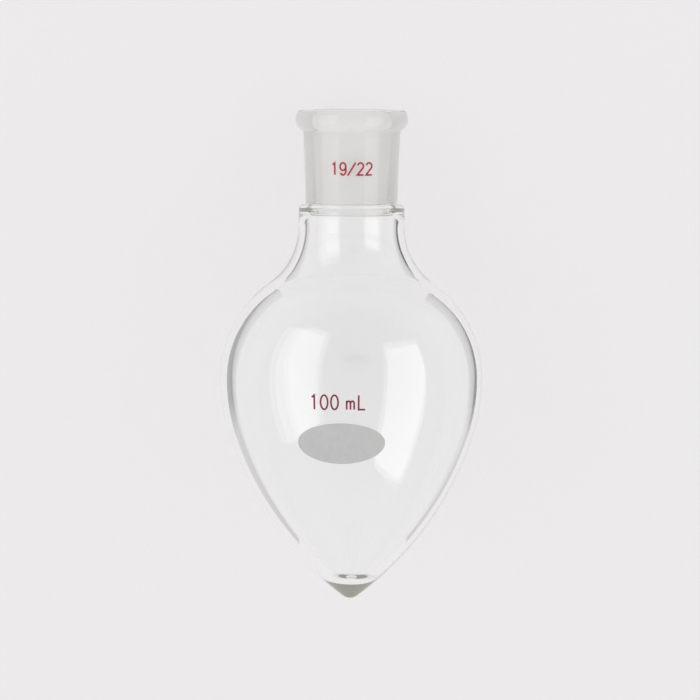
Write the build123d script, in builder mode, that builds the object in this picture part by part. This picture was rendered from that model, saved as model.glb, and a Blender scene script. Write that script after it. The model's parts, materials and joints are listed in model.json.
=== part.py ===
"""Pear-shaped flask: one blown glass piece with a solid pointed tip and a ground conical socket.

The flask can't stand on its tip, so it lies as it rests on a bench: on the shoulder of its bulb and
on the bead round its mouth. X runs from the tip to the mouth, Z is up, and the origin is on the bench
under the middle of the flask. All sizes are in millimetres.
"""
from build123d import *
from math import acos, asin, atan2, cos, degrees, hypot, radians, sin, sqrt
import os

# Bulb, seen from outside
BULB_DIAMETER = 61.2
SHOULDER_RADIUS = 27.0  # arc from the widest ring towards the neck
NECK_SWEEP = 16.0  # hollow curve that leads the shoulder into the neck
BELLY_RADIUS = 45.0  # arc just below the widest ring
BELLY_TURN = 18.0  # degrees of that arc
TAPER_RADIUS = 75.0  # long arc that draws the bulb down to the tip
TIP_RADIUS = 2.6

# Glass
WALL = 2.2
WELL_RADIUS = 10.0  # round bottom of the hollow, above the solid tip

# Ground socket, a 19/22 joint: 18.8 mm wide at the mouth, 22 mm long, narrowing by 1 in 10
SOCKET_BORE = 18.8
SOCKET_LENGTH = 22.0
SOCKET_TAPER = 0.1
MOUTH_WALL = 1.9
SOCKET_FOOT_WALL = 2.4

# Neck between the bulb and the socket
NECK_STEP = 1.65  # how far the neck stands out from the socket tube
STEP_ROUND = 1.1
STEP_FILLET = 0.5
PLAIN_NECK = 1.2  # straight bore below the flare
FLARE_LENGTH = 4.0  # where the bore widens under the ground cone

# Fire-polished bead round the mouth
BEAD_STAND = 1.85  # how far it stands out from the socket tube
BEAD_RADIUS = 2.95
BEAD_DROP = 2.1  # from the mouth down to the widest ring of the bead
BEAD_FILLET = 1.0
RIM_ROUND = 0.8

# Where the revolved section starts, in degrees round the axis from the top of the lying flask. It is clear of the
# line that touches the bench and of the marks.
SEAM_TURN = 122.9


def ball_on_axis(arc_centre, arc_radius, ball_radius):
    """Height of a ball that sits on the axis inside an arc, and the angle below level where they meet."""
    reach = arc_radius - ball_radius
    drop = sqrt(reach**2 - arc_centre[0] ** 2)
    return arc_centre[1] - drop, degrees(asin(drop / reach))


# Half section: the first number is the distance from the axis, the second the height above the widest ring
bulb_radius = BULB_DIAMETER / 2
shoulder_centre = (bulb_radius - SHOULDER_RADIUS, 0)
belly_centre = (bulb_radius - BELLY_RADIUS, 0)
centre_shift = TAPER_RADIUS - BELLY_RADIUS
taper_centre = (
    belly_centre[0] - centre_shift * cos(radians(BELLY_TURN)),
    centre_shift * sin(radians(BELLY_TURN)),
)
tip_height, tip_turn = ball_on_axis(taper_centre, TAPER_RADIUS, TIP_RADIUS)
well_height, well_turn = ball_on_axis(taper_centre, TAPER_RADIUS - WALL, WELL_RADIUS)

mouth_bore = SOCKET_BORE / 2
foot_bore = mouth_bore - SOCKET_LENGTH * SOCKET_TAPER / 2
foot_radius = foot_bore + SOCKET_FOOT_WALL
tube_radius = mouth_bore + MOUTH_WALL
neck_radius = foot_radius + NECK_STEP
neck_bore = neck_radius - WALL

sweep_span = SHOULDER_RADIUS + NECK_SWEEP
sweep_reach = neck_radius + NECK_SWEEP - shoulder_centre[0]
sweep_centre = (neck_radius + NECK_SWEEP, sqrt(sweep_span**2 - sweep_reach**2))
neck_turn = degrees(acos(sweep_reach / sweep_span))

flare_foot = sweep_centre[1] + PLAIN_NECK
socket_foot = flare_foot + FLARE_LENGTH
mouth_height = socket_foot + SOCKET_LENGTH

bead_centre = (tube_radius + BEAD_STAND - BEAD_RADIUS, mouth_height - BEAD_DROP)
bead_low = degrees(acos((tube_radius - bead_centre[0]) / BEAD_RADIUS))
bead_high = degrees(asin(BEAD_DROP / BEAD_RADIUS))
bead_foot = bead_centre[1] - BEAD_RADIUS * sin(radians(bead_low))
rim_corner = bead_centre[0] + BEAD_RADIUS * cos(radians(bead_high))

# Lying pose: the bench touches the shoulder arc and the bead arc, which fixes the tilt of the axis
bead_span = hypot(bead_centre[0] - shoulder_centre[0], bead_centre[1])
bead_lean = atan2(bead_centre[0] - shoulder_centre[0], bead_centre[1])
tilt = asin((SHOULDER_RADIUS - BEAD_RADIUS) / bead_span) - bead_lean
axis_height = shoulder_centre[0] * cos(tilt) + SHOULDER_RADIUS

rim_reach = BEAD_RADIUS - RIM_ROUND
rim_rise = BEAD_DROP - RIM_ROUND
rim_centre = (bead_centre[0] + sqrt(rim_reach**2 - rim_rise**2), mouth_height - RIM_ROUND)
tip_end = tip_height * cos(tilt) - TIP_RADIUS
mouth_end = rim_centre[1] * cos(tilt) + rim_centre[0] * sin(tilt) + RIM_ROUND

flask_axis = Vector(cos(tilt), 0, -sin(tilt))
flask_middle = (-(tip_end + mouth_end) / 2, 0, axis_height)
section_side = Vector(sin(tilt), 0, cos(tilt)).rotate(Axis((0, 0, 0), flask_axis), SEAM_TURN)
section_plane = Plane(origin=flask_middle, x_dir=section_side, z_dir=section_side.cross(flask_axis))

with BuildPart() as flask:
    with BuildSketch(section_plane) as section:
        with BuildLine():
            # Outside, from the tip up to the neck
            CenterArc((0, tip_height), TIP_RADIUS, -90, 90 - tip_turn)
            CenterArc(taper_centre, TAPER_RADIUS, -tip_turn, tip_turn - BELLY_TURN)
            CenterArc(belly_centre, BELLY_RADIUS, -BELLY_TURN, BELLY_TURN)
            CenterArc(shoulder_centre, SHOULDER_RADIUS, 0, neck_turn)
            CenterArc(sweep_centre, NECK_SWEEP, 180 + neck_turn, -neck_turn)
            # Neck, step, socket tube and bead
            Polyline(
                (neck_radius, sweep_centre[1]),
                (neck_radius, socket_foot),
                (foot_radius, socket_foot),
                (tube_radius, bead_foot),
            )
            CenterArc(bead_centre, BEAD_RADIUS, -bead_low, bead_low + bead_high)
            # Mouth, ground cone and the flare below it
            Polyline((rim_corner, mouth_height), (mouth_bore, mouth_height), (foot_bore, socket_foot))
            Spline(
                (foot_bore, socket_foot),
                (neck_bore, flare_foot),
                tangents=((0, -1), (0, -1)),
            )
            Line((neck_bore, flare_foot), (neck_bore, sweep_centre[1]))
            # Inside, from the neck down to the well
            CenterArc(sweep_centre, NECK_SWEEP + WALL, 180, neck_turn)
            CenterArc(shoulder_centre, SHOULDER_RADIUS - WALL, neck_turn, -neck_turn)
            CenterArc(belly_centre, BELLY_RADIUS - WALL, 0, -BELLY_TURN)
            CenterArc(taper_centre, TAPER_RADIUS - WALL, -BELLY_TURN, BELLY_TURN - well_turn)
            CenterArc((0, well_height), WELL_RADIUS, -well_turn, well_turn - 90)
            Line((0, well_height - WELL_RADIUS), (0, tip_height - TIP_RADIUS))
        make_face()

        def corner(x, y):
            """The section's vertex at a point."""
            return section.vertices().sort_by_distance((x, y))[0]

        fillet([corner(rim_corner, mouth_height), corner(mouth_bore, mouth_height)], RIM_ROUND)
        fillet(corner(tube_radius, bead_foot), BEAD_FILLET)
        fillet(corner(neck_radius, socket_foot), min(STEP_ROUND, NECK_STEP * 0.7))
        fillet(corner(foot_radius, socket_foot), min(STEP_FILLET, NECK_STEP * 0.25))
    revolve(axis=Axis(flask_middle, flask_axis))

flask.part.label = "flask"
os.makedirs("parts", exist_ok=True)
export_step(flask.part, "parts/flask.step")

box = flask.part.bounding_box()
print(f"height along the axis {mouth_height - tip_height + TIP_RADIUS:.2f} mm, tilt {degrees(tilt):.2f} degrees")
print(f"axis height at the widest ring {axis_height:.3f}, middle x {flask_middle[0]:.3f}")
print(f"box {box.min} to {box.max}")
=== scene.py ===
"""Looks of the pear-shaped flask: clear blown glass, a ground socket, a beaded mouth and three fired marks.

The glass is turned from its half section by a Geometry Nodes tree, in the flask's own upright frame, with
the axis up, the print side towards +X and the widest ring at height 0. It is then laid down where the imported
part lies. All sizes are in metres and all angles in radians, unless a name or a comment says otherwise.
"""
import json
import logging
import math
from abc import ABC, abstractmethod
from dataclasses import dataclass, field
from enum import Enum

import bmesh
import bpy
from mathutils import Matrix, Vector

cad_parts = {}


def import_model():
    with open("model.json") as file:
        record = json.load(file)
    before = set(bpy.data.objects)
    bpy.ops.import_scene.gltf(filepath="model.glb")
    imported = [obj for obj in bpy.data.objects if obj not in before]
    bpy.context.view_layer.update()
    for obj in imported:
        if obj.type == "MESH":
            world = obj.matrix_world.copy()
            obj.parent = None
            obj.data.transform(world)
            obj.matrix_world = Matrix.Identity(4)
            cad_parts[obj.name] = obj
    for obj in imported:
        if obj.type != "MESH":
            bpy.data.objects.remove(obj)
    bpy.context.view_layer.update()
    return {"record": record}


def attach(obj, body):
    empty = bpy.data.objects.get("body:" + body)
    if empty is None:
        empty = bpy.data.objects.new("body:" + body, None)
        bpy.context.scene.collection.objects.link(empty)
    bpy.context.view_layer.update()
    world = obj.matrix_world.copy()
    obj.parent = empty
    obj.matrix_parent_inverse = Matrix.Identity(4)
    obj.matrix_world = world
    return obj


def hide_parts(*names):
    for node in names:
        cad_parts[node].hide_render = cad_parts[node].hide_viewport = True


log = logging.getLogger("flask")

Point = tuple[float, float]
Colour = tuple[float, float, float, float]
Socket = bpy.types.NodeSocket

# Colour of the bench and of the room behind the flask
BACKGROUND = (0.847, 0.831, 0.839, 1.0)

# Two points closer than this are one
SAME_PLACE = 1e-6

# Longest stretch between two points of an oval, in degrees
OVAL_STEP = 12


def arc(centre: Point, radius: float, start: float, sweep: float, chord: float) -> list[Point]:
    """Points along an arc of the half section.

    Args:
        centre: Centre of the arc.
        radius: Radius of the arc.
        start: Angle of the first point, from level.
        sweep: Angle that the arc turns through, negative for clockwise.
        chord: Longest distance from one point to the next.

    Returns:
        The points, both ends included.
    """
    steps = max(3, math.ceil(abs(sweep) * radius / chord))
    turns = [start + sweep * step / steps for step in range(steps + 1)]
    return [(centre[0] + radius * math.cos(turn), centre[1] + radius * math.sin(turn)) for turn in turns]


def line(first: Point, last: Point, chord: float) -> list[Point]:
    """Points along a straight stretch of the half section.

    Args:
        first: Where the stretch starts.
        last: Where it ends.
        chord: Longest distance from one point to the next.

    Returns:
        The points, both ends included.
    """
    steps = max(1, math.ceil(math.dist(first, last) / chord))
    out, up = last[0] - first[0], last[1] - first[1]
    shares = [step / steps for step in range(steps + 1)]
    return [(first[0] + out * share, first[1] + up * share) for share in shares]


def rounded(before: Point, corner: Point, after: Point, radius: float, chord: float) -> list[Point]:
    """Points round a corner between two straight stretches.

    Args:
        before: A point on the stretch that leads to the corner.
        corner: Where the two stretches would meet.
        after: A point on the stretch that leaves it.
        radius: Radius of the round.
        chord: Longest distance from one point to the next.

    Returns:
        The points of the round, from one stretch to the other.
    """
    back = (Vector(before) - Vector(corner)).normalized()
    ahead = (Vector(after) - Vector(corner)).normalized()
    half = back.angle(ahead) / 2
    centre = Vector(corner) + (back + ahead).normalized() * (radius / math.sin(half))
    first = Vector(corner) + back * (radius / math.tan(half)) - centre
    last = Vector(corner) + ahead * (radius / math.tan(half)) - centre
    sweep = math.atan2(first.x * last.y - first.y * last.x, first.dot(last))
    return arc(tuple(centre), radius, math.atan2(first.y, first.x), sweep, chord)


def ball_on_axis(centre: Point, arc_radius: float, ball_radius: float) -> tuple[float, float]:
    """Where a ball sits on the flask's axis inside an arc.

    Args:
        centre: Centre of the arc.
        arc_radius: Radius of the arc.
        ball_radius: Radius of the ball.

    Returns:
        Height of the ball's centre, and the angle below level at which the two meet.
    """
    reach = arc_radius - ball_radius
    drop = math.sqrt(reach**2 - centre[0] ** 2)
    return centre[1] - drop, math.asin(drop / reach)


def placed(right: Vector, up: Vector, back: Vector, place: Vector) -> Matrix:
    """The matrix that turns X, Y and Z to three directions and moves the origin to a place."""
    return Matrix.Translation(place) @ Matrix((right, up, back)).transposed().to_4x4()


def put_in_scene(name: str, data: bpy.types.ID) -> bpy.types.Object:
    """Puts a mesh, a lamp or a camera into the scene, in a new object."""
    holder = bpy.data.objects.new(name, data)
    bpy.context.scene.collection.objects.link(holder)
    return holder


def plain_mesh(piece: bpy.types.Object) -> bpy.types.Mesh:
    """An object's mesh as its modifiers leave it."""
    graph = bpy.context.evaluated_depsgraph_get()
    return bpy.data.meshes.new_from_object(piece.evaluated_get(graph), depsgraph=graph)


@dataclass(frozen=True)
class FlaskSection:
    """Half section of the flask: distance from the axis, and height above the widest ring."""

    bulb_radius: float = 0.0306
    shoulder_radius: float = 0.027
    neck_sweep: float = 0.016
    belly_radius: float = 0.045
    belly_turn: float = math.radians(18.0)
    taper_radius: float = 0.075
    tip_radius: float = 0.0026
    wall: float = 0.0022
    hollow_taper_radius: float = 0.069
    well_radius: float = 0.009
    mouth_bore: float = 0.0094
    socket_length: float = 0.022
    socket_slope: float = 0.05
    mouth_wall: float = 0.0019
    foot_wall: float = 0.0024
    neck_step: float = 0.00165
    step_round: float = 0.0011
    step_fillet: float = 0.0004
    neck_wall: float = 0.0019
    plain_neck: float = 0.0012
    flare_length: float = 0.004
    flare_steps: int = 12
    bead_stand: float = 0.00185
    bead_radius: float = 0.00295
    bead_drop: float = 0.0021
    bead_fillet: float = 0.001
    rim_round: float = 0.0008
    long_chord: float = 0.0007
    well_chord: float = 0.00042
    short_chord: float = 0.00014

    @property
    def shoulder_centre(self) -> Point:
        """Centre of the arc above the widest ring."""
        return self.bulb_radius - self.shoulder_radius, 0.0

    @property
    def belly_centre(self) -> Point:
        """Centre of the arc just below the widest ring."""
        return self.bulb_radius - self.belly_radius, 0.0

    @property
    def foot_bore(self) -> float:
        """Radius of the ground cone at its foot."""
        return self.mouth_bore - self.socket_length * self.socket_slope

    @property
    def foot_radius(self) -> float:
        """Outside radius of the socket tube at its foot."""
        return self.foot_bore + self.foot_wall

    @property
    def tube_radius(self) -> float:
        """Outside radius of the socket tube under the bead."""
        return self.mouth_bore + self.mouth_wall

    @property
    def neck_radius(self) -> float:
        """Outside radius of the neck under the socket."""
        return self.foot_radius + self.neck_step

    @property
    def outer_sweep(self) -> tuple[Point, float]:
        """The outside's hollow curve between the shoulder and the neck, as sweep_into gives it."""
        return self.sweep_into(self.shoulder_radius, self.neck_radius, self.neck_sweep)

    @property
    def socket_foot(self) -> float:
        """Height of the ground cone's narrow end, above the plain neck and the flare."""
        return self.outer_sweep[0][1] + self.plain_neck + self.flare_length

    @property
    def mouth_height(self) -> float:
        """Height of the mouth."""
        return self.socket_foot + self.socket_length

    def sweep_into(self, shoulder: float, neck: float, sweep: float) -> tuple[Point, float]:
        """The curve that leads a shoulder into a straight neck.

        Args:
            shoulder: Radius of the shoulder's arc.
            neck: Radius of the neck.
            sweep: Radius of the curve.

        Returns:
            The curve's centre, and the angle above level at which the shoulder meets it.
        """
        reach = neck + sweep - self.shoulder_centre[0]
        span = shoulder + sweep
        return (neck + sweep, math.sqrt(span**2 - reach**2)), math.acos(reach / span)

    def below_belly(self, shift: float) -> Point:
        """Centre of an arc that carries on from the belly, with a radius larger by the shift."""
        return self.belly_centre[0] - shift * math.cos(self.belly_turn), shift * math.sin(self.belly_turn)

    def outside(self) -> list[Point]:
        """The outside of the glass.

        Returns:
            The points, from the tip up to the flat of the mouth.
        """
        long, short = self.long_chord, self.short_chord
        belly_turn = self.belly_turn
        sweep_centre, neck_turn = self.outer_sweep
        taper_centre = self.below_belly(self.taper_radius - self.belly_radius)
        tip_height, tip_turn = ball_on_axis(taper_centre, self.taper_radius, self.tip_radius)
        neck_foot = (self.neck_radius, sweep_centre[1])
        step_edge = (self.neck_radius, self.socket_foot)
        step_root = (self.foot_radius, self.socket_foot)
        tube_top = (self.tube_radius, self.mouth_height)
        edge = rounded(neck_foot, step_edge, step_root, self.step_round, short)
        root = rounded(step_edge, step_root, tube_top, self.step_fillet, short)
        lip = self.lip()
        return [
            *arc((0.0, tip_height), self.tip_radius, -math.pi / 2, math.pi / 2 - tip_turn, short),
            *arc(taper_centre, self.taper_radius, -tip_turn, tip_turn - belly_turn, long),
            *arc(self.belly_centre, self.belly_radius, -belly_turn, belly_turn, long),
            *arc(self.shoulder_centre, self.shoulder_radius, 0.0, neck_turn, long),
            *arc(sweep_centre, self.neck_sweep, math.pi + neck_turn, -neck_turn, long),
            *line(neck_foot, edge[0], long),
            *edge,
            *root,
            *line(root[-1], lip[0], long),
            *lip,
        ]

    def lip(self) -> list[Point]:
        """The bead round the mouth.

        Returns:
            The points, from its hollow under side to the flat of the mouth.
        """
        bead_out = self.tube_radius + self.bead_stand - self.bead_radius
        bead_centre = (bead_out, self.mouth_height - self.bead_drop)
        under_reach = self.bead_radius + self.bead_fillet
        under_out = self.tube_radius + self.bead_fillet - bead_out
        under_drop = math.sqrt(under_reach**2 - under_out**2)
        under = (self.tube_radius + self.bead_fillet, bead_centre[1] - under_drop)
        low = math.acos(under_out / under_reach)
        rim_reach = self.bead_radius - self.rim_round
        rim_rise = self.bead_drop - self.rim_round
        rim_out = math.sqrt(rim_reach**2 - rim_rise**2)
        rim_centre = (bead_out + rim_out, self.mouth_height - self.rim_round)
        high = math.asin(rim_rise / rim_reach)
        return [
            *arc(under, self.bead_fillet, math.pi, -low, self.short_chord),
            *arc(bead_centre, self.bead_radius, -low, low + high, self.short_chord),
            *arc(rim_centre, self.rim_round, high, math.pi / 2 - high, self.short_chord),
        ]

    def cone(self) -> list[Point]:
        """The ground cone and the rounded inner edge of the mouth.

        Returns:
            The points, from the flat of the mouth down to the cone's narrow end.
        """
        mouth = (self.mouth_bore, self.mouth_height)
        foot = (self.foot_bore, self.socket_foot)
        edge = rounded((self.tube_radius, self.mouth_height), mouth, foot, self.rim_round, self.short_chord)
        return [*edge, *line(edge[-1], foot, self.long_chord)]

    def inside(self) -> list[Point]:
        """The inside of the neck and the bulb, with glass that grows thicker towards the tip.

        Returns:
            The points, from the foot of the ground cone down to the bottom of the well.
        """
        long = self.long_chord
        belly_turn = self.belly_turn
        taper = self.hollow_taper_radius
        taper_centre = self.below_belly(taper - self.belly_radius + self.wall)
        well_height, well_turn = ball_on_axis(taper_centre, taper, self.well_radius)
        well_sweep = well_turn - math.pi / 2
        neck_bore = self.neck_radius - self.neck_wall
        sweep = self.neck_sweep + self.neck_wall
        shoulder = self.shoulder_radius - self.wall
        sweep_centre, neck_turn = self.sweep_into(shoulder, neck_bore, sweep)
        # The flare is a quarter of an ellipse
        widening = neck_bore - self.foot_bore
        flare = []
        for step in range(1, self.flare_steps + 1):
            turn = math.pi / 2 * step / self.flare_steps
            drop = self.flare_length * (1 - math.cos(turn))
            flare.append((self.foot_bore + widening * math.sin(turn), self.socket_foot - drop))
        return [
            *flare,
            *line(flare[-1], (neck_bore, sweep_centre[1]), long),
            *arc(sweep_centre, sweep, math.pi, neck_turn, long),
            *arc(self.shoulder_centre, shoulder, neck_turn, -neck_turn, long),
            *arc(self.belly_centre, self.belly_radius - self.wall, 0.0, -belly_turn, long),
            *arc(taper_centre, taper, -belly_turn, belly_turn - well_turn, long),
            *arc((0.0, well_height), self.well_radius, -well_turn, well_sweep, self.well_chord),
        ]

    def stations(self) -> list["Station"]:
        """The whole half section.

        Returns:
            Its stations, from the tip over the mouth to the bottom of the well.
        """
        runs = [(self.outside(), False, False), (self.cone(), False, True), (self.inside(), True, False)]
        found: list[Station] = []
        for points, hollow, ground in runs:
            for point in points:
                if not found or math.dist(point, (found[-1].radius, found[-1].height)) > SAME_PLACE:
                    found.append(Station(point[0], point[1], hollow, ground))
        return found


@dataclass(frozen=True)
class Station:
    """One point of the half section."""

    radius: float
    height: float
    hollow: bool
    ground: bool


@dataclass(frozen=True)
class LyingPose:
    """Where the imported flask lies: the centre of its mouth and the direction of its axis."""

    mouth: Vector
    axis: Vector
    mouth_height: float

    def matrix(self) -> Matrix:
        """Takes the flask's upright frame to where it lies, with its print side up.

        Returns:
            The matrix.
        """
        side = Vector((0.0, -1.0, 0.0))
        front = side.cross(self.axis)
        return placed(front, side, self.axis, self.mouth - self.axis * self.mouth_height)


class NodeTree:
    """A node tree that is filled one node at a time."""

    # How the nodes stand in the editor
    NODES_IN_ROW = 8
    COLUMN_WIDTH = 220
    ROW_HEIGHT = 320

    def __init__(self, tree: bpy.types.NodeTree) -> None:
        """Keeps the tree to fill."""
        self.tree = tree

    def add(self, kind: str, values: dict[str, object] | None = None, **settings: object) -> bpy.types.Node:
        """Adds a node.

        Args:
            kind: Blender's name for the kind of node.
            values: What feeds each input, by its name or its number: a socket, or a value.
            settings: Properties of the node.

        Returns:
            The new node.
        """
        node = self.tree.nodes.new(kind)
        for name, value in settings.items():
            setattr(node, name, value)
        for name, value in (values or {}).items():
            socket = node.inputs[int(name)] if name.isdigit() else node.inputs[name]
            if isinstance(value, Socket):
                self.tree.links.new(value, socket)
            else:
                socket.default_value = value
        return node

    def out(self, kind: str, values: dict[str, object] | None = None, **settings: object) -> Socket:
        """Adds a node, and gives its first output."""
        return self.add(kind, values, **settings).outputs[0]

    def math(self, operation: str, *terms: object) -> Socket:
        """A Math node's result.

        Args:
            operation: What the node does, such as ADD.
            terms: Its inputs, each a socket or a number.

        Returns:
            The node's output.
        """
        values = {str(place): term for place, term in enumerate(terms)}
        return self.out("ShaderNodeMath", values, operation=operation)

    def blend(self, share: Socket, first: Socket, second: Socket) -> Socket:
        """Mixes two shaders, with the share of the second."""
        return self.out("ShaderNodeMixShader", {"0": share, "1": first, "2": second})

    def tidy(self) -> None:
        """Lays the nodes out in rows, so that the tree can be read in the editor."""
        for place, node in enumerate(self.tree.nodes):
            row, column = divmod(place, self.NODES_IN_ROW)
            node.location = (column * self.COLUMN_WIDTH, -row * self.ROW_HEIGHT)


class MaterialTree(NodeTree):
    """The node tree of a new material."""

    def __init__(self, name: str) -> None:
        """Starts a material with an empty tree."""
        self.made = bpy.data.materials.new(name)
        self.made.use_nodes = True
        self.made.node_tree.nodes.clear()
        super().__init__(self.made.node_tree)

    def end(self, surface: Socket) -> bpy.types.Material:
        """Ends the tree in the material's output, and gives the material."""
        self.add("ShaderNodeOutputMaterial", {"Surface": surface})
        self.tidy()
        return self.made


class GeometryTree(NodeTree):
    """A Geometry Nodes tree with named inputs, which a modifier runs once."""

    def __init__(self, name: str, inputs: dict[str, str]) -> None:
        """Starts the tree.

        Args:
            name: The tree's name.
            inputs: Each input's name and its kind of socket.
        """
        super().__init__(bpy.data.node_groups.new(name, "GeometryNodeTree"))
        for label, kind in {"Geometry": "Geometry", **inputs}.items():
            self.tree.interface.new_socket(label, in_out="INPUT", socket_type=f"NodeSocket{kind}")
        self.tree.interface.new_socket("Geometry", in_out="OUTPUT", socket_type="NodeSocketGeometry")
        self.given = self.add("NodeGroupInput").outputs

    def end(self, geometry: Socket, coats: list[dict[str, Socket]]) -> None:
        """Ends the tree in Realize Instances and Set Material.

        Args:
            geometry: What the tree has made.
            coats: The inputs of each Set Material node, in order.
        """
        done = self.out("GeometryNodeRealizeInstances", {"Geometry": geometry})
        for coat in coats:
            done = self.out("GeometryNodeSetMaterial", {"Geometry": done, **coat})
        self.add("NodeGroupOutput", {"Geometry": done})
        self.tidy()

    def run(self, start: bpy.types.Mesh, name: str, values: dict[str, object]) -> bpy.types.Object:
        """Runs the tree on a mesh.

        Args:
            start: The mesh that the tree starts from.
            name: Name of the piece that it makes.
            values: Value of each named input.

        Returns:
            A new object that holds the result as a plain mesh.
        """
        source = put_in_scene(f"{name}_start", start)
        modifier = source.modifiers.new(self.tree.name, "NODES")
        modifier.node_group = self.tree
        for item in self.tree.interface.items_tree:
            if item.name in values:
                modifier[item.identifier] = values[item.name]
        made = plain_mesh(source)
        made.name = name
        bpy.data.objects.remove(source)
        bpy.data.meshes.remove(start)
        return put_in_scene(name, made)


class LatheTree(GeometryTree):
    """Turns a half section round the upright axis into a closed body."""

    # A point whose ground zone is above this belongs to the ground cone
    GROUND_LIMIT = 0.9

    def __init__(self) -> None:
        """Builds the tree."""
        sizes = {"Segments": "Int", "Hollow Shift": "Float", "Shift Top": "Float", "Shift Foot": "Float"}
        super().__init__("turned_glass", {**sizes, "Clear": "Material", "Ground": "Material"})
        given = self.given
        # A grid point for each station and each step round the axis, the first step once more at the end
        section = {"Geometry": given["Geometry"]}
        count = self.add("GeometryNodeAttributeDomainSize", section).outputs["Point Count"]
        across = self.math("ADD", given["Segments"], 1.0)
        grid = self.add("GeometryNodeMeshGrid", {"Vertices X": count, "Vertices Y": across}).outputs["Mesh"]
        # The half keeps the division clear of whole numbers before it is rounded down
        index = self.out("GeometryNodeInputIndex")
        station = self.math("FLOOR", self.math("DIVIDE", self.math("ADD", index, 0.5), across))
        step = self.math("SUBTRACT", index, self.math("MULTIPLY", station, across))
        turn = self.math("MULTIPLY", self.math("DIVIDE", step, given["Segments"]), math.tau)
        position = self.out("GeometryNodeInputPosition")
        point = self.sample(position, "FLOAT_VECTOR", station)
        place = self.add("ShaderNodeSeparateXYZ", {"Vector": point}).outputs
        out, height = place["X"], place["Z"]
        # The hollow of the bulb sits a little to one side, and that of the neck doesn't
        hollow = self.sample(self.attribute("hollow"), "FLOAT", station)
        fade = self.add(
            "ShaderNodeMapRange",
            {"Value": height, "From Min": given["Shift Top"], "From Max": given["Shift Foot"]},
            interpolation_type="SMOOTHSTEP",
        ).outputs["Result"]
        shift = self.math("MULTIPLY", self.math("MULTIPLY", hollow, fade), given["Hollow Shift"])
        x = self.math("MULTIPLY", out, self.math("COSINE", turn))
        y = self.math("ADD", self.math("MULTIPLY", out, self.math("SINE", turn)), shift)
        spot = self.out("ShaderNodeCombineXYZ", {"X": x, "Y": y, "Z": height})
        ground = self.sample(self.attribute("ground"), "FLOAT", station)
        zone = {"Geometry": grid, "Name": "ground", "Value": ground}
        marked = self.add("GeometryNodeStoreNamedAttribute", zone, domain="POINT").outputs["Geometry"]
        turned = self.out("GeometryNodeSetPosition", {"Geometry": marked, "Position": spot})
        merge = {"Geometry": turned, "Distance": SAME_PLACE}
        closed = self.out("GeometryNodeMergeByDistance", merge)
        smooth = self.out("GeometryNodeSetShadeSmooth", {"Geometry": closed})
        cone = self.math("GREATER_THAN", self.attribute("ground"), self.GROUND_LIMIT)
        self.end(smooth, [{"Material": given["Clear"]}, {"Selection": cone, "Material": given["Ground"]}])

    def attribute(self, name: str) -> Socket:
        """A number that the mesh carries under a name."""
        return self.out("GeometryNodeInputNamedAttribute", {"Name": name}, data_type="FLOAT")

    def sample(self, value: Socket, kind: str, index: Socket) -> Socket:
        """Reads a value at one station of the section.

        Args:
            value: What to read.
            kind: The value's data type.
            index: Which station.

        Returns:
            The value there.
        """
        values = {"Geometry": self.given["Geometry"], "Value": value, "Index": index}
        return self.out("GeometryNodeSampleIndex", values, data_type=kind, domain="POINT")


class WrapTree(GeometryTree):
    """Wraps a flat mark round the glass: its width runs round the axis and its height along it."""

    # Rays start this far from the axis, outside the glass, and reach across it
    RAY_START = 0.06
    RAY_LENGTH = 0.1

    def __init__(self) -> None:
        """Builds the tree."""
        sizes = {"Bearing": "Float", "Height": "Float", "Glass Radius": "Float", "Lift": "Float"}
        super().__init__("fired_mark", {**sizes, "Levels": "Int", "Glass": "Object", "Enamel": "Material"})
        given = self.given
        triangles = self.out("GeometryNodeTriangulate", {"Mesh": given["Geometry"]})
        fine = self.out("GeometryNodeSubdivideMesh", {"Mesh": triangles, "Level": given["Levels"]})
        position = self.out("GeometryNodeInputPosition")
        place = self.add("ShaderNodeSeparateXYZ", {"Vector": position}).outputs
        turn = self.math("ADD", self.math("DIVIDE", place["X"], given["Glass Radius"]), given["Bearing"])
        height = self.math("ADD", place["Y"], given["Height"])
        heading = {"X": self.math("COSINE", turn), "Y": self.math("SINE", turn)}
        out = self.out("ShaderNodeCombineXYZ", heading)
        level = self.out("ShaderNodeCombineXYZ", {"Z": height})
        glass = self.add("GeometryNodeObjectInfo", {"Object": given["Glass"]}).outputs["Geometry"]
        # Each point goes to where a ray from outside, straight towards the axis, meets the glass
        ray = self.add(
            "GeometryNodeRaycast",
            {
                "Target Geometry": glass,
                "Source Position": self.vector("ADD", self.vector("SCALE", out, self.RAY_START), level),
                "Ray Direction": self.vector("SCALE", out, -1.0),
                "Ray Length": self.RAY_LENGTH,
            },
        ).outputs
        lift = self.vector("SCALE", ray["Hit Normal"], given["Lift"])
        spot = self.vector("ADD", ray["Hit Position"], lift)
        wrapped = self.out("GeometryNodeSetPosition", {"Geometry": fine, "Position": spot})
        smooth = self.out("GeometryNodeSetShadeSmooth", {"Geometry": wrapped})
        self.end(smooth, [{"Material": given["Enamel"]}])

    def vector(self, operation: str, first: object, second: object) -> Socket:
        """A Vector Math node's result.

        Args:
            operation: What the node does, such as ADD or SCALE.
            first: The first vector.
            second: The second vector, or the scale.

        Returns:
            The node's output.
        """
        name = "Scale" if operation == "SCALE" else "1"
        return self.out("ShaderNodeVectorMath", {"0": first, name: second}, operation=operation)


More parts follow.
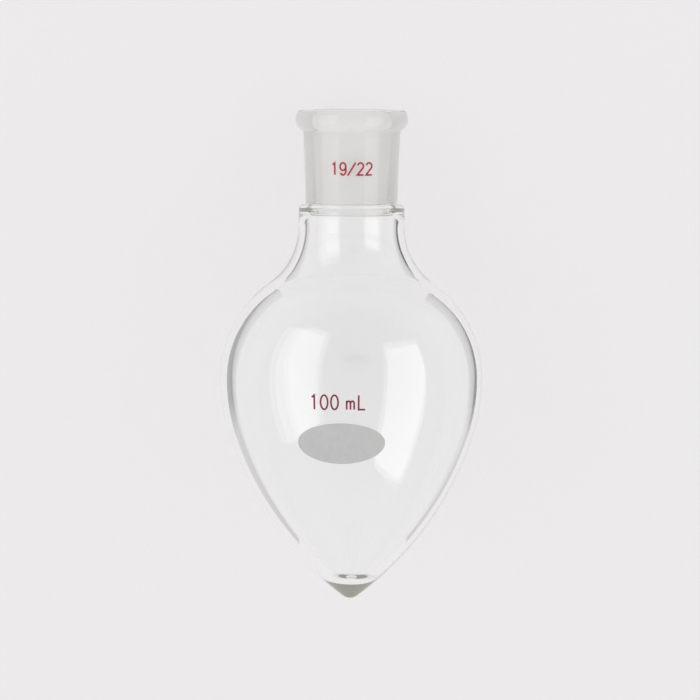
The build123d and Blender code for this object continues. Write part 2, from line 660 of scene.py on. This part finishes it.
@dataclass(frozen=True)
class ClearGlass:
    """Clear borosilicate glass.

    Light that the solid tip or the step keeps turning back and forth ends in a painted grey-green glow, which
    stands in for the shade seen in thick glass.
    """

    ior: float = 1.47
    colour: Colour = (0.995, 0.998, 0.996, 1.0)
    roughness: float = 0.0
    deep_bounces: float = 8.5
    deep_colour: Colour = (0.3, 0.3, 0.255, 1.0)
    shadow_colour: Colour = (0.9, 0.9, 0.9, 1.0)

    def material(self) -> bpy.types.Material:
        """Builds the material.

        Returns:
            The material.
        """
        tree = MaterialTree("clear_glass")
        clear = {"Base Color": self.colour, "Roughness": self.roughness, "IOR": self.ior}
        glass = tree.out("ShaderNodeBsdfPrincipled", {**clear, "Transmission Weight": 1.0})
        path = tree.add("ShaderNodeLightPath").outputs
        # Painted shade: rays that have bounced deep enough glow grey-green instead of meeting the glass
        deep = tree.math("GREATER_THAN", path["Ray Depth"], self.deep_bounces)
        tint = tree.out("ShaderNodeEmission", {"Color": self.deep_colour})
        through = tree.out("ShaderNodeBsdfTransparent", {"Color": self.shadow_colour})
        caught = tree.blend(deep, glass, tint)
        # The painted glow is no lamp, so the renderer aims no rays at it
        tree.made.cycles.emission_sampling = "NONE"
        return tree.end(tree.blend(path["Is Shadow Ray"], caught, through))


@dataclass(frozen=True)
class GroundGlass:
    """Glass ground matt with fine grit."""

    ior: float = 1.47
    colour: Colour = (0.83, 0.825, 0.81, 1.0)
    roughness: float = 0.6
    clearness: float = 0.45
    grit_scale: float = 9000.0
    grit_strength: float = 0.25
    grit_depth: float = 0.00002
    shadow_colour: Colour = (0.8, 0.8, 0.8, 1.0)

    def material(self) -> bpy.types.Material:
        """Builds the material.

        Returns:
            The material.
        """
        tree = MaterialTree("ground_glass")
        place = tree.add("ShaderNodeTexCoord").outputs["Object"]
        grit = tree.out("ShaderNodeTexNoise", {"Vector": place, "Scale": self.grit_scale})
        bump = tree.out(
            "ShaderNodeBump", {"Strength": self.grit_strength, "Distance": self.grit_depth, "Height": grit}
        )
        rough = {"Base Color": self.colour, "Roughness": self.roughness, "IOR": self.ior, "Normal": bump}
        matt = tree.out("ShaderNodeBsdfPrincipled", {**rough, "Transmission Weight": self.clearness})
        shadow = tree.add("ShaderNodeLightPath").outputs["Is Shadow Ray"]
        through = tree.out("ShaderNodeBsdfTransparent", {"Color": self.shadow_colour})
        return tree.end(tree.blend(shadow, matt, through))


@dataclass(frozen=True)
class Enamel:
    """Enamel fired onto glass, with faint clouds in its colour and a fine grain."""

    name: str
    colour: Colour
    roughness: float
    shade: float = 0.08
    cloud_scale: float = 600.0
    cloud_detail: float = 4.0
    grain_scale: float = 5000.0
    grain_strength: float = 0.2
    grain_depth: float = 0.00001

    def material(self) -> bpy.types.Material:
        """Builds the material.

        Returns:
            The material.
        """
        tree = MaterialTree(self.name)
        place = tree.add("ShaderNodeTexCoord").outputs["Object"]
        cloud = tree.out(
            "ShaderNodeTexNoise", {"Vector": place, "Scale": self.cloud_scale, "Detail": self.cloud_detail}
        )
        dark = tuple(part * (1.0 - self.shade) for part in self.colour[:3])
        light = tuple(min(1.0, part * (1.0 + self.shade)) for part in self.colour[:3])
        # Inputs 6 and 7 and output 2 are the Mix node's colours
        tones = {"0": cloud, "6": (*dark, 1.0), "7": (*light, 1.0)}
        tint = tree.add("ShaderNodeMix", tones, data_type="RGBA").outputs[2]
        grain = tree.out("ShaderNodeTexNoise", {"Vector": place, "Scale": self.grain_scale})
        bump = tree.out(
            "ShaderNodeBump", {"Strength": self.grain_strength, "Distance": self.grain_depth, "Height": grain}
        )
        coat = {"Base Color": tint, "Roughness": self.roughness, "Normal": bump}
        return tree.end(tree.out("ShaderNodeBsdfPrincipled", coat))


@dataclass
class GlassBody:
    """The flask's one piece of glass: bulb, neck, socket and bead."""

    section: FlaskSection = field(default_factory=FlaskSection)
    segments: int = 160
    hollow_shift: float = 0.00045
    shift_top: float = 0.034
    shift_foot: float = 0.012

    def start(self) -> bpy.types.Mesh:
        """Makes what the lathe starts from.

        Returns:
            The half section as loose points, each with its zones.
        """
        stations = self.section.stations()
        mesh = bpy.data.meshes.new("section")
        mesh.from_pydata([(station.radius, 0.0, station.height) for station in stations], [], [])
        for name in ("hollow", "ground"):
            zone = mesh.attributes.new(name, "FLOAT", "POINT")
            zone.data.foreach_set("value", [float(getattr(station, name)) for station in stations])
        return mesh

    def build(self, clear: bpy.types.Material, ground: bpy.types.Material) -> bpy.types.Object:
        """Turns the glass in its upright frame.

        Args:
            clear: The clear glass.
            ground: The ground glass of the cone.

        Returns:
            The piece.
        """
        values = {
            "Segments": self.segments,
            "Hollow Shift": self.hollow_shift,
            "Shift Top": self.shift_top,
            "Shift Foot": self.shift_foot,
            "Clear": clear,
            "Ground": ground,
        }
        piece = LatheTree().run(self.start(), "blown_glass", values)
        shell = bmesh.new()
        shell.from_mesh(piece.data)
        bmesh.ops.recalc_face_normals(shell, faces=shell.faces)
        shell.to_mesh(piece.data)
        shell.free()
        return piece


class Wording(Enum):
    """The plain size marks."""

    CAPACITY = "100 mL"
    JOINT_SIZE = "19/22"


def oval(centre: Point, across: float, tall: float, start: float, sweep: float) -> list[Point]:
    """Points along a stretch of an oval.

    Args:
        centre: Its centre.
        across: Half its width.
        tall: Half its height.
        start: Where the stretch starts, in degrees.
        sweep: How far it turns, in degrees, negative for clockwise.

    Returns:
        The points, both ends included.
    """
    steps = math.ceil(abs(sweep) / OVAL_STEP)
    turns = [math.radians(start + sweep * step / steps) for step in range(steps + 1)]
    return [(centre[0] + across * math.cos(turn), centre[1] + tall * math.sin(turn)) for turn in turns]


def strokes(letter: str) -> list[list[Point]]:
    """The middle lines of a letter's strokes.

    Args:
        letter: The letter or digit.

    Returns:
        Each stroke as points, in a cell one capital high, with its foot on the line and centred on 0.
    """
    arch = [*oval((-0.13, 0.42), 0.13, 0.17, 180, -180), (0.0, 0.0)]
    known = {
        "0": [oval((0.0, 0.5), 0.25, 0.5, 90, 360)],
        "1": [[(-0.15, 0.83), (0.03, 1.0), (0.03, 0.0)]],
        "2": [[*oval((0.0, 0.73), 0.24, 0.27, 165, -200), (-0.26, 0.0), (0.26, 0.0)]],
        "9": [
            oval((0.0, 0.69), 0.24, 0.31, 0, 360),
            [(0.24, 0.69), *oval((0.0, 0.34), 0.24, 0.34, 0, -150)],
        ],
        "/": [[(-0.33, -0.06), (0.33, 1.04)]],
        "m": [[(-0.26, 0.0), (-0.26, 0.62)], arch, [(x + 0.26, y) for x, y in arch]],
        "L": [[(-0.16, 1.0), (-0.16, 0.0), (0.3, 0.0)]],
    }
    return known.get(letter, [])


@dataclass(frozen=True)
class Mark(ABC):
    """A mark fired onto the glass.

    The bearing is the angle round the axis from the print side, towards the right of who reads it.
    """

    name: str
    bearing: float
    height: float
    glass_radius: float
    levels: int = 1
    lift: float = 0.00003
    thickness: float = 0.00004

    @abstractmethod
    def flat(self) -> bpy.types.Mesh:
        """The flat outline, with its middle at the origin, its width along X and its height along Y."""

    def fire(self, glass: bpy.types.Object, enamel: bpy.types.Material) -> bpy.types.Object:
        """Wraps the flat outline round the glass.

        Args:
            glass: The glass in its upright frame.
            enamel: The mark's material.

        Returns:
            The mark, as a thin closed shell.
        """
        values = {
            "Bearing": self.bearing,
            "Height": self.height,
            "Glass Radius": self.glass_radius,
            "Lift": self.lift,
            "Levels": self.levels,
            "Glass": glass,
            "Enamel": enamel,
        }
        piece = WrapTree().run(self.flat(), self.name, values)
        coat = piece.modifiers.new("coat", "SOLIDIFY")
        coat.thickness = self.thickness
        coat.offset = 1.0
        thin = piece.data
        piece.data = plain_mesh(piece)
        piece.modifiers.clear()
        bpy.data.meshes.remove(thin)
        piece.data.name = self.name
        return piece


@dataclass(frozen=True)
class Lettering(Mark):
    """A mark in plain thin letters, each in a cell of the same width.

    The pitch is the width of a cell and the space that of a gap, both in capitals. The least lean limits how
    far the ribbon widens in a sharp corner.
    """

    wording: Wording = Wording.CAPACITY
    capital: float = 0.0033
    pitch: float = 0.73
    space: float = 0.38
    pen: float = 0.00042
    chord: float = 0.0004
    least_lean: float = 0.5

    def lines(self) -> list[list[Vector]]:
        """The middle lines of all the strokes.

        Returns:
            Each stroke's points, at their real size and centred.
        """
        cells = [self.space if letter == " " else self.pitch for letter in self.wording.value]
        start = -sum(cells) / 2
        found = []
        for letter, cell in zip(self.wording.value, cells):
            for stroke in strokes(letter):
                places = [Vector((x + start + cell / 2, y - 0.5)) * self.capital for x, y in stroke]
                fine = [places[0]]
                for first, last in zip(places, places[1:]):
                    steps = max(1, math.ceil((last - first).length / self.chord))
                    fine += [first.lerp(last, step / steps) for step in range(1, steps + 1)]
                found.append(fine)
            start += cell
        return found

    def flat(self) -> bpy.types.Mesh:
        """The strokes as flat ribbons.

        Returns:
            The ribbons, as wide as the pen.
        """
        verts: list[tuple[float, float, float]] = []
        faces: list[tuple[int, int, int, int]] = []
        for points in self.lines():
            for place, point in enumerate(points):
                back = (point - points[place - 1]).normalized() if place else None
                ahead = (points[place + 1] - point).normalized() if place + 1 < len(points) else None
                along = ((back or ahead) + (ahead or back)).normalized()
                lean = max(self.least_lean, along.dot(back or ahead))
                side = Vector((-along.y, along.x)) * (self.pen / 2 / lean)
                if place:
                    foot = len(verts)
                    faces.append((foot - 2, foot - 1, foot + 1, foot))
                verts += [(*(point + side), 0.0), (*(point - side), 0.0)]
        mesh = bpy.data.meshes.new("letters")
        mesh.from_pydata(verts, [], faces)
        return mesh


@dataclass(frozen=True)
class MarkingSpot(Mark):
    """The white oval that takes pencil marks."""

    width: float = 0.0207
    tall: float = 0.0095
    rings: int = 14
    spokes: int = 96

    def flat(self) -> bpy.types.Mesh:
        """The flat oval.

        Returns:
            The oval, as rings of faces round its middle.
        """
        shape = bmesh.new()
        middle = shape.verts.new((0.0, 0.0, 0.0))
        turns = [math.tau * spoke / self.spokes for spoke in range(self.spokes)]
        inner: list[bmesh.types.BMVert] = []
        for ring in range(1, self.rings + 1):
            across = self.width / 2 * (ring / self.rings)
            tall = self.tall / 2 * (ring / self.rings)
            outer = [shape.verts.new((across * math.cos(turn), tall * math.sin(turn), 0.0)) for turn in turns]
            for spoke in range(self.spokes):
                after = (spoke + 1) % self.spokes
                if inner:
                    shape.faces.new((inner[spoke], outer[spoke], outer[after], inner[after]))
                else:
                    shape.faces.new((middle, outer[spoke], outer[after]))
            inner = outer
        mesh = bpy.data.meshes.new("oval")
        shape.to_mesh(mesh)
        shape.free()
        return mesh


@dataclass(frozen=True)
class SoftBox:
    """A soft box, placed by its direction as the camera sees it."""

    name: str
    side: float
    rise: float
    width: float
    height: float
    radiance: float
    distance: float = 0.6

    def build(self, pose: LyingPose) -> None:
        """Hangs the soft box over the bench, facing the middle of the bulb.

        Args:
            pose: Where the flask lies.
        """
        matrix = pose.matrix()
        turn = matrix.to_3x3()
        front, right, up = (turn @ Vector(axis) for axis in ((1, 0, 0), (0, 1, 0), (0, 0, 1)))
        level = front * math.cos(self.side) + right * math.sin(self.side)
        away = level * math.cos(self.rise) + up * math.sin(self.rise)
        lamp = bpy.data.lights.new(self.name, "AREA")
        lamp.shape = "RECTANGLE"
        lamp.size = self.width
        lamp.size_y = self.height
        lamp.energy = self.radiance * math.pi * self.width * self.height
        holder = put_in_scene(self.name, lamp)
        across = up.cross(away).normalized()
        place = matrix.translation + away * self.distance
        holder.matrix_world = placed(across, away.cross(across), away, place)


@dataclass(frozen=True)
class BenchCard:
    """Dark card on the bench beside the flask, seen only through its glass: painted shade that draws the dark
    line of the inner wall.

    The card starts where a ray would land that the glass turns away from straight down by the inner angle,
    which grows where the flask is narrower, by the neck gain at the neck. Only rays that stay in one wall see
    it, with two passes through the surface, and not those that cross the hollow. It is paler towards the tip.
    The side is 1 to the right of who reads the marks and -1 to the left.
    """

    name: str
    side: float
    shade: float
    inner_angle: float = math.radians(31.0)
    neck_gain: float = math.radians(10.0)
    outer_angle: float = math.radians(55.0)
    least_radius: float = 0.009
    stride: int = 4
    lift: float = 0.0002
    faint_place: float = -0.043
    full_place: float = -0.027
    faint_shade: float = 0.68
    passes: float = 2.5

    def edges(self, pose: LyingPose, section: FlaskSection) -> list[Vector]:
        """Pairs of places on the bench, an inner and an outer one.

        Args:
            pose: Where the flask lies.
            section: The flask's half section.

        Returns:
            The places, from the tip to the neck.
        """
        matrix = pose.matrix()
        front = matrix.to_3x3() @ Vector((1.0, 0.0, 0.0))
        outline = [
            Vector(point)
            for point in section.outside()
            if point[0] > self.least_radius and point[1] < section.socket_foot - section.step_round
        ]
        found = []
        for before, after in list(zip(outline, outline[self.stride:]))[:: self.stride]:
            along = (after - before).normalized()
            middle = (after + before) / 2
            fall = (matrix @ Vector((0.0, 0.0, middle.y))).z / front.z
            share = (section.bulb_radius - middle.x) / (section.bulb_radius - section.neck_radius)
            for angle in (self.inner_angle + self.neck_gain * share, self.outer_angle):
                spot = middle + Vector((along.y, -along.x)) * (fall * math.tan(angle))
                place = matrix @ Vector((0.0, self.side * spot.x, spot.y))
                found.append(place - front * (place.z / front.z))
        return found

    def material(self) -> bpy.types.Material:
        """Builds the card's material, which is clear to all other rays.

        Returns:
            The material.
        """
        tree = MaterialTree(self.name)
        place = tree.add("ShaderNodeTexCoord").outputs["Object"]
        strength = tree.add(
            "ShaderNodeMapRange",
            {
                "Value": tree.add("ShaderNodeSeparateXYZ", {"Vector": place}).outputs["X"],
                "From Min": self.faint_place,
                "From Max": self.full_place,
                "To Min": self.faint_shade,
                "To Max": self.shade,
            },
        ).outputs["Result"]
        # Painted shade: the card glows a darker copy of the background, paler towards the tip
        shade = tree.out("ShaderNodeEmission", {"Color": BACKGROUND, "Strength": strength})
        passed = tree.add("ShaderNodeLightPath").outputs["Transmission Depth"]
        bench = tree.out("ShaderNodeBsdfTransparent")
        return tree.end(tree.blend(tree.math("LESS_THAN", passed, self.passes), bench, shade))

    def build(self, pose: LyingPose, section: FlaskSection) -> None:
        """Cuts the card to the flask's outline.

        Args:
            pose: Where the flask lies.
            section: The flask's half section.
        """
        places = [(place.x, place.y, self.lift) for place in self.edges(pose, section)]
        mesh = bpy.data.meshes.new(self.name)
        mesh.from_pydata(places, [], [(k, k + 1, k + 3, k + 2) for k in range(0, len(places) - 2, 2)])
        mesh.materials.append(self.material())
        card = put_in_scene(self.name, mesh)
        card.visible_camera = False
        card.visible_diffuse = False
        card.visible_glossy = False
        card.visible_shadow = False


@dataclass(frozen=True)
class Studio:
    """The pale bench, the room round it and the camera."""

    floor_reach: float = 30.0
    floor_lit_share: float = 0.2
    floor_glow: float = 0.995
    room_light: Colour = (0.67, 0.67, 0.665, 1.0)
    pale_rise: float = 0.2
    dim_rise: float = 0.7
    bounces: int = 14
    camera_rise: float = math.radians(2.9)
    camera_distance: float = 2.5
    view_width: float = 0.16331
    view_middle: float = 0.00637
    view_side: float = -0.00023
    lean: float = math.radians(0.23)
    sensor: float = 36.0
    clip_start: float = 0.05
    clip_end: float = 200.0

    def floor(self) -> None:
        """Makes the bench, with the flask's soft shadow.

        It glows for rays from the camera, from a reflection or through the glass, and not as light.
        """
        tree = MaterialTree("bench")
        path = tree.add("ShaderNodeLightPath").outputs
        direct = tree.math("MAXIMUM", path["Is Camera Ray"], path["Is Transmission Ray"])
        seen = tree.math("MAXIMUM", direct, path["Is Glossy Ray"])
        matt = tree.out("ShaderNodeBsdfDiffuse", {"Color": BACKGROUND})
        glow = tree.out("ShaderNodeEmission", {"Color": BACKGROUND, "Strength": self.floor_glow})
        share = tree.math("MULTIPLY", seen, 1.0 - self.floor_lit_share)
        reach = self.floor_reach
        corners = [(-reach, -reach, 0.0), (reach, -reach, 0.0), (reach, reach, 0.0), (-reach, reach, 0.0)]
        mesh = bpy.data.meshes.new("bench")
        mesh.from_pydata(corners, [], [(0, 1, 2, 3)])
        mesh.materials.append(tree.end(tree.blend(share, matt, glow)))
        put_in_scene("bench", mesh)

    def room(self) -> None:
        """Makes the room, which is dim and even as light.

        The camera sees the background's colour in it, and so do rays through the glass that leave low down.
        """
        world = bpy.data.worlds.new("room")
        bpy.context.scene.world = world
        world.use_nodes = True
        world.node_tree.nodes.clear()
        tree = NodeTree(world.node_tree)
        path = tree.add("ShaderNodeLightPath").outputs
        heading = tree.add("ShaderNodeTexCoord").outputs["Generated"]
        low = tree.add(
            "ShaderNodeMapRange",
            {
                "Value": tree.add("ShaderNodeSeparateXYZ", {"Vector": heading}).outputs["Z"],
                "From Min": self.pale_rise,
                "From Max": self.dim_rise,
                "To Min": 1.0,
                "To Max": 0.0,
            },
            interpolation_type="SMOOTHSTEP",
        ).outputs["Result"]
        bent = tree.math("MULTIPLY", path["Is Transmission Ray"], low)
        direct = tree.math("MAXIMUM", path["Is Camera Ray"], bent)
        pale = tree.out("ShaderNodeBackground", {"Color": BACKGROUND})
        dim = tree.out("ShaderNodeBackground", {"Color": self.room_light})
        tree.add("ShaderNodeOutputWorld", {"Surface": tree.blend(direct, dim, pale)})
        tree.tidy()
        cycles = bpy.context.scene.cycles
        cycles.max_bounces = self.bounces
        cycles.transmission_bounces = self.bounces
        cycles.glossy_bounces = self.bounces

    def camera(self, pose: LyingPose) -> None:
        """Sets up the camera, which looks down on the print side from a little towards the mouth.

        Args:
            pose: Where the flask lies.
        """
        matrix = pose.matrix()
        turn = matrix.to_3x3()
        back = turn @ Vector((math.cos(self.camera_rise), 0.0, math.sin(self.camera_rise)))
        level = turn @ Vector((0.0, math.cos(self.lean), math.sin(self.lean)))
        up = back.cross(level).normalized()
        target = matrix @ Vector((0.0, self.view_side, self.view_middle))
        lens = bpy.data.cameras.new("photo_camera")
        lens.sensor_width = self.sensor
        lens.lens = self.sensor * self.camera_distance / self.view_width
        lens.clip_start = self.clip_start
        lens.clip_end = self.clip_end
        holder = put_in_scene("photo_camera", lens)
        holder.matrix_world = placed(up.cross(back), up, back, target + back * self.camera_distance)
        bpy.context.scene.camera = holder


def finish_piece(piece: bpy.types.Object, pose: LyingPose, slot: str) -> None:
    """Lays a piece down, and has it ride with the part.

    Args:
        piece: The piece, in the upright frame.
        pose: Where the flask lies.
        slot: The record's slot of its finish.
    """
    piece.data.transform(pose.matrix())
    piece.data.update()
    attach(piece, "root")
    log.info("%s: %d faces, slot %s", piece.name, len(piece.data.polygons), slot)


def main() -> None:
    """Builds the flask and its studio."""
    logging.basicConfig(level=logging.INFO, format="%(name)s %(message)s")
    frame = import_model()
    bpy.context.scene.view_settings.view_transform = "Standard"
    body = GlassBody()
    socket = next(mount for mount in frame["record"]["mounts"] if mount["name"] == "ground_socket")
    axis = Vector(socket["axis"]).normalized()
    pose = LyingPose(mouth=Vector(socket["pos_m"]), axis=axis, mouth_height=body.section.mouth_height)

    glass = body.build(ClearGlass().material(), GroundGlass().material())
    white = Enamel("white_enamel", colour=(0.515, 0.51, 0.512, 1.0), roughness=0.5).material()
    red = Enamel("red_enamel", colour=(0.22, 0.012, 0.03, 1.0), roughness=0.35).material()
    bright_red = Enamel("red_enamel_on_matt", colour=(0.42, 0.012, 0.03, 1.0), roughness=0.35).material()
    spot = MarkingSpot("marking_spot", bearing=-0.078, height=-0.01385, glass_radius=0.0287)
    capacity = Lettering("capacity_mark", bearing=-0.103, height=-0.0042, glass_radius=0.0302)
    joint_size = Lettering(
        "joint_size_mark",
        bearing=0.0,
        height=0.0490,
        glass_radius=0.0110,
        wording=Wording.JOINT_SIZE,
        capital=0.0028,
    )
    marks = [
        (spot, white, "white_enamel"),
        (capacity, red, "red_enamel"),
        (joint_size, bright_red, "red_enamel"),
    ]
    for mark, enamel, slot in marks:
        finish_piece(mark.fire(glass, enamel), pose, slot)
    finish_piece(glass, pose, "clear_glass")
    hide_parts("flask")

    studio = Studio()
    studio.floor()
    studio.room()
    studio.camera(pose)
    # Cards of painted shade, which draw the dark lines of the inner wall
    BenchCard("left_card", side=-1.0, shade=0.34).build(pose, body.section)
    BenchCard("right_card", side=1.0, shade=0.08).build(pose, body.section)
    SoftBox(
        "left_soft_box", side=math.radians(-53), rise=math.radians(5.5), width=0.49, height=1.0, radiance=1.0
    ).build(pose)
    SoftBox(
        "right_soft_box", side=math.radians(50), rise=math.radians(-9), width=0.41, height=1.0, radiance=1.1
    ).build(pose)


if __name__ == "__main__":
    main()
